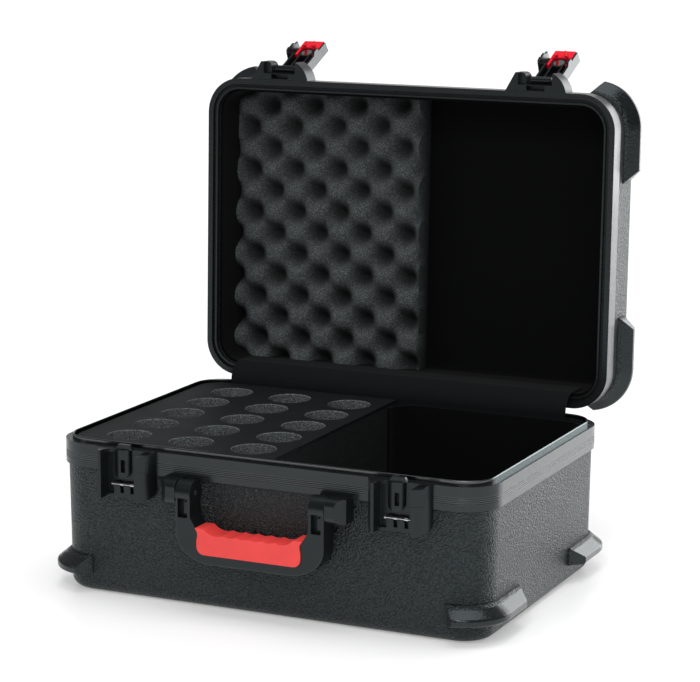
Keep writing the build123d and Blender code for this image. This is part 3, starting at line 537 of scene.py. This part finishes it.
def make_finishes():
    """The finishes by slot; one that differs on the lid's pieces is there again with _lid."""
    return {
        "moulded_shell": pebbled_plastic("moulded_shell", of_lid=False),
        "moulded_shell_lid": pebbled_plastic("moulded_shell_lid", of_lid=True),
        "frame_metal": anodised_metal("frame_metal", of_lid=False, level=0.5,
                                      ridges=BASE_RIDGES),
        "frame_metal_lid": anodised_metal("frame_metal_lid", of_lid=True, level=0.36,
                                          ridges=LID_RIDGES),
        "seal_rubber": satin_plastic("seal_rubber", (0.007, 0.007, 0.007), (0.6, 0.75)),
        # painted shade and light: the block's foam is a darkened copy and the drops' foam a
        # lightened copy of one foam
        "block_foam": foam("block_foam", (0.0045, 0.0052, 0.0055), (0.022, 0.024, 0.025),
                           cell=1.3, depth=0.5),
        "top_sheet": satin_plastic("top_sheet", (0.0060, 0.0072, 0.0078), (0.55, 0.7),
                                   level=0.3),
        "lining_fabric": lining_cloth("lining_fabric", (0.0015, 0.0017, 0.0019)),
        # crate foam with painted shade in its dimples
        "crate_foam": foam("crate_foam", (0.013, 0.0152, 0.0157), (0.105, 0.117, 0.119),
                           cell=1.6, depth=0.9, hollow_shade=(0.011, 0.0128, 0.0132)),
        "drop_foam": foam("drop_foam", (0.012, 0.014, 0.0145), (0.15, 0.165, 0.168),
                          cell=1.6, depth=0.8),
        "flap_fabric": lining_cloth("flap_fabric", (0.0050, 0.0060, 0.0066)),
        "steel": plated_steel("plated_steel", (0.62, 0.63, 0.64), rough=0.25),
        "lock_steel": plated_steel("lock_steel", (0.75, 0.75, 0.74), rough=0.15),
        "fitting_plastic": satin_plastic("fitting_plastic", (0.0050, 0.0066, 0.0072),
                                         (0.26, 0.38), level=0.42),
        "release_plastic": satin_plastic("release_plastic", (0.72, 0.004, 0.02),
                                         (0.18, 0.28), tint=WHITE),
        "grip_rubber": satin_plastic("grip_rubber", (0.84, 0.055, 0.05), (0.35, 0.5),
                                     tint=WHITE),
    }


def dress(thing, material):
    """One material over the whole piece."""
    thing.data.materials.clear()
    thing.data.materials.append(material)


def dress_nodes(finishes):
    """Every solid takes the finish of its own slot in the record; the lid may have its own."""
    for part in frame["record"]["subparts"]:
        slot = part["material_slot"]
        if part["node"].startswith("lid_") and slot + "_lid" in finishes:
            slot += "_lid"
        dress(NODES[part["node"]], finishes[slot])


# ---------------------------------------------------------------- tools for modelling
def fresh():
    """Object mode, with nothing selected."""
    if bpy.context.object and bpy.context.object.mode != "OBJECT":
        bpy.ops.object.mode_set(mode="OBJECT")
    bpy.ops.object.select_all(action="DESELECT")


def select(*pieces):
    """Only these pieces are selected, and the first is active."""
    fresh()
    for piece in pieces:
        piece.select_set(True)
    bpy.context.view_layer.objects.active = pieces[0]


def settle(piece, name):
    """The piece's place goes into its mesh, and it gets its name."""
    piece.name = piece.data.name = name
    select(piece)
    bpy.ops.object.transform_apply(location=True, rotation=True, scale=True)
    return piece


def apply(piece, kind, **settings):
    """A modifier, added and applied."""
    select(piece)
    made = piece.modifiers.new(kind.lower(), kind)
    for title, value in settings.items():
        setattr(made, title, value)
    bpy.ops.object.modifier_apply(modifier=made.name)


def pick(piece, kind, chosen):
    """Edit mode, with only those edges or faces selected whose middle and corners pass a test."""
    select(piece)
    bpy.ops.object.mode_set(mode="EDIT")
    bpy.ops.mesh.select_mode(type=kind)
    bpy.ops.mesh.select_all(action="DESELECT")
    mesh = bmesh.from_edit_mesh(piece.data)
    for part in mesh.edges if kind == "EDGE" else mesh.faces:
        ends = [v.co / MM for v in part.verts]
        part.select_set(chosen(sum(ends, Vector()) / len(ends), ends))
    bmesh.update_edit_mesh(piece.data)


def clean_up(piece, smooth_below):
    """Doubled points go, faces look out, and edges flatter than an angle in degrees are smooth."""
    pick(piece, "FACE", lambda middle, ends: True)
    bpy.ops.mesh.remove_doubles(threshold=NEAR * MM)
    bpy.ops.mesh.normals_make_consistent(inside=False)
    select(piece)
    bpy.ops.object.shade_smooth_by_angle(angle=radians(smooth_below))


def open_lid(piece):
    """Swings a piece of the closed lid to where the lid stands open."""
    hinge = Matrix.Translation((0, HINGE_Y * MM, HINGE_Z * MM))
    piece.matrix_world = hinge @ Matrix.Rotation(radians(-LID_OPEN), 4, "X") @ hinge.inverted()
    settle(piece, piece.name)


def fallen(reach, radius):
    """How far a rounded edge has fallen away, at a distance past where its round begins."""
    return radius - max(0.0, radius ** 2 - reach ** 2) ** 0.5


def soft_slab(name, x, y, z, corner, step, down=False):
    """A slab on a fine grid, its two left corners rounded; its free face looks down if asked."""
    fresh()
    width, depth = x[1] - x[0], y[1] - y[0]
    bpy.ops.mesh.primitive_grid_add(
        x_subdivisions=round(width / step), y_subdivisions=round(depth / step), size=1,
        location=((x[0] + x[1]) / 2 * MM, (y[0] + y[1]) / 2 * MM,
                  (z[1] if down else z[0]) * MM))
    piece = bpy.context.object
    piece.scale = (width * MM, depth * MM, 1)
    settle(piece, name)
    turn_y = max(abs(y[0]), abs(y[1])) - corner
    reach = x[0] + 2 * corner
    for vertex in piece.data.vertices:
        start = x[0] + fallen(max(0.0, abs(vertex.co.y / MM) - turn_y), corner)
        if vertex.co.x / MM < reach:
            share = (vertex.co.x / MM - x[0]) / (reach - x[0])
            vertex.co.x = (start + share * (reach - start)) * MM
    apply(piece, "SOLIDIFY", thickness=(z[1] - z[0]) * MM, offset=-1 if down else 1)
    return piece


def drop_places():
    """The middle of each drop."""
    for column in range(DROP_COLUMNS):
        for row in range(DROP_ROWS):
            yield (-INNER_X + DROP_FIRST[0] + column * DROP_PITCH[0],
                   -INNER_Y + DROP_FIRST[1] + row * DROP_PITCH[1])


def punch(piece, low, high, flare=0.0):
    """Cuts the drops, with a flare over their top if asked."""
    fresh()
    cutters = []
    for x, y in drop_places():
        bpy.ops.mesh.primitive_cylinder_add(
            vertices=DROP_SIDES, radius=DROP_RADIUS * MM, depth=(high - low) * MM,
            location=(x * MM, y * MM, (low + high) / 2 * MM))
        cutter = bpy.context.object
        if flare:
            pick(cutter, "FACE", lambda middle, ends: middle.z > 0 and len(ends) > 4)
            raise_top = bpy.ops.mesh.extrude_region_move
            raise_top(TRANSFORM_OT_translate={"value": (0, 0, flare * MM)})
            grow = (DROP_RADIUS + flare) / DROP_RADIUS
            bpy.ops.transform.resize(value=(grow, grow, 1))
            raise_top(TRANSFORM_OT_translate={"value": (0, 0, FLARE_PAST * MM)})
            fresh()
        cutters.append(cutter)
    select(*cutters)
    bpy.ops.object.join()
    cutter = settle(cutters[0], "drop_cutter")
    apply(piece, "BOOLEAN", operation="DIFFERENCE", object=cutter, solver="EXACT")
    bpy.data.objects.remove(cutter)


def rounded_floor(piece, low):
    """Rounds the edge of a foam block's underside, where the shell is rounded."""
    right = max(vertex.co.x for vertex in piece.data.vertices)
    for vertex in piece.data.vertices:
        x, y, z = vertex.co / MM
        if z > low + NEAR or vertex.co.x == right:
            continue
        from_side, from_end = x + INNER_X, INNER_Y - abs(y)
        edge = min(from_side, from_end)
        if max(from_side, from_end) < INNER_CORNER:
            into = Vector((INNER_CORNER - from_side, INNER_CORNER - from_end))
            edge = INNER_CORNER - into.length
        if edge < FOAM_EDGE:
            vertex.co.z += fallen(FOAM_EDGE - max(0.0, edge), FOAM_EDGE) * MM


def dress_drops(piece, finish):
    """The faces inside the drops take the second finish, painted light where light falls into the
    drops; the rest keeps the piece's first finish.
    """
    piece.data.materials.append(finish)
    axes = [Vector(place) for place in drop_places()]
    for face in piece.data.polygons:
        middle = face.center / MM
        inside = min((middle.xy - axis).length for axis in axes) < DROP_RADIUS + DROP_FLARE
        if inside and middle.z > DROP_FLOOR - 1:
            face.material_index = 1


# ---------------------------------------------------------------- foam
def make_foam_block(finish, lit_drop_finish):
    """The block that the microphones stand in."""
    low, top = SHELL_WALL + FIT, BLOCK_TOP - SHEET_HEIGHT
    block = soft_slab("foam_block", (-INNER_X, -INNER_X + BLOCK_WIDTH), (-INNER_Y, BLOCK_BACK),
                      (low, top), INNER_CORNER, BLOCK_STEP)
    rounded_floor(block, low)
    punch(block, DROP_FLOOR, top + DROP_PAST)
    clean_up(block, 40)
    dress(block, finish)
    # painted light on the walls inside the drops
    dress_drops(block, lit_drop_finish)
    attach(block, "base")
    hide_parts("mic_foam_block")


def make_top_sheet(finish, lit_drop_finish):
    """The smooth sheet on the block, a little uneven, with a rolled edge round each drop."""
    low, top = BLOCK_TOP - SHEET_HEIGHT + SHEET_GLUE, BLOCK_TOP - SHEET_SLACK
    sheet = soft_slab("foam_top_sheet", (-INNER_X, -INNER_X + BLOCK_WIDTH),
                      (-INNER_Y, BLOCK_BACK), (low, top), INNER_CORNER, BLOCK_STEP)
    for vertex in sheet.data.vertices:
        if vertex.co.z > (low + 1) * MM:
            vertex.co.z += SHEET_UNEVEN * MM * noise.noise(vertex.co * SHEET_WAVE)
    punch(sheet, low - SHEET_PAST, top - DROP_FLARE, DROP_FLARE)
    clean_up(sheet, 40)
    dress(sheet, finish)
    # painted light: the sheet's cut edge inside each drop takes the lit foam too
    dress_drops(sheet, lit_drop_finish)
    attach(sheet, "base")
    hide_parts("mic_foam_top_sheet")


def crate_height(x, y):
    """Height of the egg-crate face over its back: wide peaks and narrower dimples in turn."""
    turn = radians(CRATE_TURN)
    dx, dy = x - CRATE_DIMPLE[0], y - CRATE_DIMPLE[1]
    along, across = dx * cos(turn) - dy * sin(turn), dx * sin(turn) + dy * cos(turn)
    wave = (1 - cos(2 * pi * along / CRATE_PITCH) * cos(pi * across / CRATE_ROW)) / 2
    full = 1 - (1 - wave) ** CRATE_FULLNESS
    uneven = sum(noise.noise(Vector((x, y, layer)) / length) * height
                 for height, length, layer in CRATE_UNEVEN)
    uneven *= CRATE_FLAT_SHARE + (1 - CRATE_FLAT_SHARE) * full
    return CRATE_SLAB + (CRATE_HEIGHT - CRATE_SLAB - CRATE_SLACK) * full + uneven


def make_egg_crate(finish):
    """The lid's pad, glued to its lining; "rise" goes from 0 in the dimples to 1 on the peaks, and
    sets how much painted shade its finish lays into the dimples.
    """
    inset = INNER_INSET + LINING + FIT
    ceiling = LID_TOP - SHELL_WALL - LINING - 2 * FIT
    left, half = -CASE_WIDTH / 2 + inset, CASE_DEPTH / 2 - inset
    back_edge = FOAM_EDGE - LINING
    crate = soft_slab("egg_crate", (left, left + CRATE_WIDTH), (-half, half),
                      (ceiling - CRATE_HEIGHT, ceiling), CORNER - inset, CRATE_STEP, down=True)
    for vertex in crate.data.vertices:
        x, y, z = vertex.co / MM
        edge = min(x - left, half - abs(y))
        if z < ceiling - 1:
            vertex.co.z = (ceiling - min(CRATE_HEIGHT, crate_height(x, y))) * MM
        elif edge < back_edge:
            vertex.co.z -= fallen(back_edge - max(0.0, edge), back_edge) * MM
    clean_up(crate, 60)
    rise = crate.data.attributes.new("rise", "FLOAT", "POINT")
    for vertex, value in zip(crate.data.vertices, rise.data):
        height = ceiling - vertex.co.z / MM - CRATE_SLAB
        value.value = max(0.0, min(1.0, height / CRATE_UNSHADED))
    open_lid(crate)
    dress(crate, finish)
    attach(crate, "lid")
    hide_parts("egg_crate_foam")


# ---------------------------------------------------------------- linings and hinge flap
def tray(name, x, y, z, corner, edge, open_left):
    """A thin lining: a box with rounded corners and a rounded floor, open at the top.

    Where its left side is open too, only the right corners are rounded.
    """
    fresh()
    bpy.ops.mesh.primitive_cube_add(size=1, location=(
        (x[0] + x[1]) / 2 * MM, (y[0] + y[1]) / 2 * MM, (z[0] + z[1]) / 2 * MM))
    piece = bpy.context.object
    piece.scale = ((x[1] - x[0]) * MM, (y[1] - y[0]) * MM, (z[1] - z[0]) * MM)
    settle(piece, name)

    def at_open_left(ends):
        return open_left and max(end.x for end in ends) < x[0] + NEAR

    pick(piece, "EDGE", lambda middle, ends: abs(ends[0].z - ends[1].z) > 1
         and (middle.x > 0 or not open_left))
    bpy.ops.mesh.bevel(offset=corner * MM, segments=10, profile=0.5)
    pick(piece, "FACE", lambda middle, ends: min(end.z for end in ends) > z[1] - NEAR
         or at_open_left(ends))
    bpy.ops.mesh.delete(type="FACE")
    pick(piece, "EDGE", lambda middle, ends: max(end.z for end in ends) < z[0] + NEAR
         and not at_open_left(ends))
    bpy.ops.mesh.bevel(offset=edge * MM, segments=5, profile=0.5)
    apply(piece, "SOLIDIFY", thickness=LINING * MM, offset=-1)
    clean_up(piece, 35)
    return piece


def make_compartment_lining(finish):
    """The lining of the open compartment, with the foam block as its left side."""
    lining = tray("compartment_cloth", (-INNER_X + BLOCK_WIDTH + FIT, INNER_X),
                  (-INNER_Y, INNER_Y), (SHELL_WALL + FIT, BASE_HEIGHT - LINING),
                  INNER_CORNER, FOAM_EDGE, open_left=True)
    dress(lining, finish)
    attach(lining, "base")
    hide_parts("compartment_lining")


def make_lid_lining(finish):
    """The lid's lining, made as a tray and turned over."""
    low, high = LID_WEB_TOP + FIT, LID_TOP - SHELL_WALL - FIT
    lining = tray("lid_cloth", (-INNER_X, INNER_X), (-INNER_Y, INNER_Y), (low, high),
                  INNER_CORNER, FOAM_EDGE, open_left=False)
    turned_over = Matrix.Rotation(pi, 4, "X")
    lining.matrix_world = Matrix.Translation((0, 0, (low + high) * MM)) @ turned_over
    settle(lining, "lid_cloth")
    open_lid(lining)
    dress(lining, finish)
    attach(lining, "lid")
    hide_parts("lid_lining")


def flap_path():
    """Places across the flap, (y, z): up the base's wall, round the hinge, and into the lid."""
    wall = INNER_Y - (FLAP_THICK + FLAP_SLACK) / 2
    low = Vector((wall, BASE_HEIGHT - FIT))
    hinge = Vector((HINGE_Y, HINGE_Z))
    closed = Vector((wall - LINING - FIT, LID_WEB_TOP + 2 * FIT)) - hinge
    turn = Matrix.Rotation(radians(-LID_OPEN), 2)
    lid_start = hinge + turn @ closed
    lid_end = hinge + turn @ (closed + Vector((0, FLAP_RISE)))
    first, last = low - hinge, lid_start - hinge
    start, stop = atan2(first.y, first.x), atan2(last.y, last.x)
    if start < 0:
        start += 2 * pi
    path = [low - Vector((0, FLAP_DROP * (1 - k / FLAP_GLUED_STEPS)))
            for k in range(FLAP_GLUED_STEPS)]
    for k in range(FLAP_BEND_STEPS + 1):
        share = k / FLAP_BEND_STEPS
        angle = start + (stop - start) * share
        radius = first.length + (last.length - first.length) * share
        path.append(hinge + radius * Vector((cos(angle), sin(angle))))
    path += [lid_start.lerp(lid_end, (k + 1) / FLAP_GLUED_STEPS)
             for k in range(FLAP_GLUED_STEPS)]
    return path


def make_flap(finish):
    """The cloth strip over the hinge gap: a unit grid laid along the path, rippled at its bend."""
    path = flap_path()
    fresh()
    bpy.ops.mesh.primitive_grid_add(x_subdivisions=FLAP_COLUMNS, y_subdivisions=len(path) - 1,
                                    size=1)
    flap = settle(bpy.context.object, "hinge_flap")
    for vertex in flap.data.vertices:
        place = path[round((vertex.co.y + 0.5) * (len(path) - 1))]
        x = FLAP_LEFT + (vertex.co.x + 0.5) * (FLAP_RIGHT - FLAP_LEFT)
        free = max(0.0, 1 - abs(vertex.co.y) / FLAP_RIPPLE_SHARE)
        wave = noise.noise(Vector((x / FLAP_RIPPLE_LENGTH, vertex.co.y * 3, 4)))
        ripple = FLAP_RIPPLE * free * wave
        outward = Vector((place.x - HINGE_Y, place.y - HINGE_Z)).normalized()
        vertex.co = Vector((x, place.x + ripple * outward.x, place.y + ripple * outward.y)) * MM
    apply(flap, "SOLIDIFY", thickness=FLAP_THICK * MM, offset=0)
    clean_up(flap, 60)
    dress(flap, finish)
    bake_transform(flap)
    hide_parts("hinge_flap_base", "hinge_flap_lid")


# ---------------------------------------------------------------- floor
FLOOR_SIZE, FLOOR_SUNK = 30, 0.0004          # metres
FLOOR_LIFT, FLOOR_LIFT_FAR = 0.24, 0.5       # light of its own, so that the floor is white
FLOOR_NEAR, FLOOR_FAR = 0.9, 4.0             # metres from the case


def make_floor():
    """A white floor that mirrors a little and meets the white background far off."""
    fresh()
    bpy.ops.mesh.primitive_plane_add(size=FLOOR_SIZE, location=(0, 0, -FLOOR_SUNK))
    floor = bpy.context.object
    floor.name = "floor"
    made, tree, shader = finish_of("floor_white", rough=0.25, level=0.35)
    shader.inputs["Base Color"].default_value = (0.86, 0.86, 0.86, 1)
    shader.inputs["Emission Color"].default_value = (1, 1, 1, 1)
    rays = node(tree, "LightPath")
    seen = calc(tree, "MAXIMUM", rays.outputs["Is Camera Ray"], rays.outputs["Is Glossy Ray"])
    place = node(tree, "TexCoord").outputs["Object"]
    far = node(tree, "VectorMath", operation="LENGTH", Vector=place).outputs["Value"]
    lift = node(tree, "MapRange", Value=far, From_Min=FLOOR_NEAR, From_Max=FLOOR_FAR,
                To_Min=FLOOR_LIFT, To_Max=FLOOR_LIFT_FAR)
    strength = calc(tree, "MULTIPLY", seen, lift.outputs[0])
    tree.links.new(strength, shader.inputs["Emission Strength"])
    dress(floor, made)


# ---------------------------------------------------------------- the making
bpy.context.scene.view_settings.view_transform = "Standard"
make_camera()
make_world()
make_lights()
FINISHES = make_finishes()
dress_nodes(FINISHES)
make_foam_block(FINISHES["block_foam"], FINISHES["drop_foam"])
make_top_sheet(FINISHES["top_sheet"], FINISHES["drop_foam"])
make_compartment_lining(FINISHES["lining_fabric"])
make_lid_lining(FINISHES["lining_fabric"])
make_egg_crate(FINISHES["crate_foam"])
make_flap(FINISHES["flap_fabric"])
make_floor()
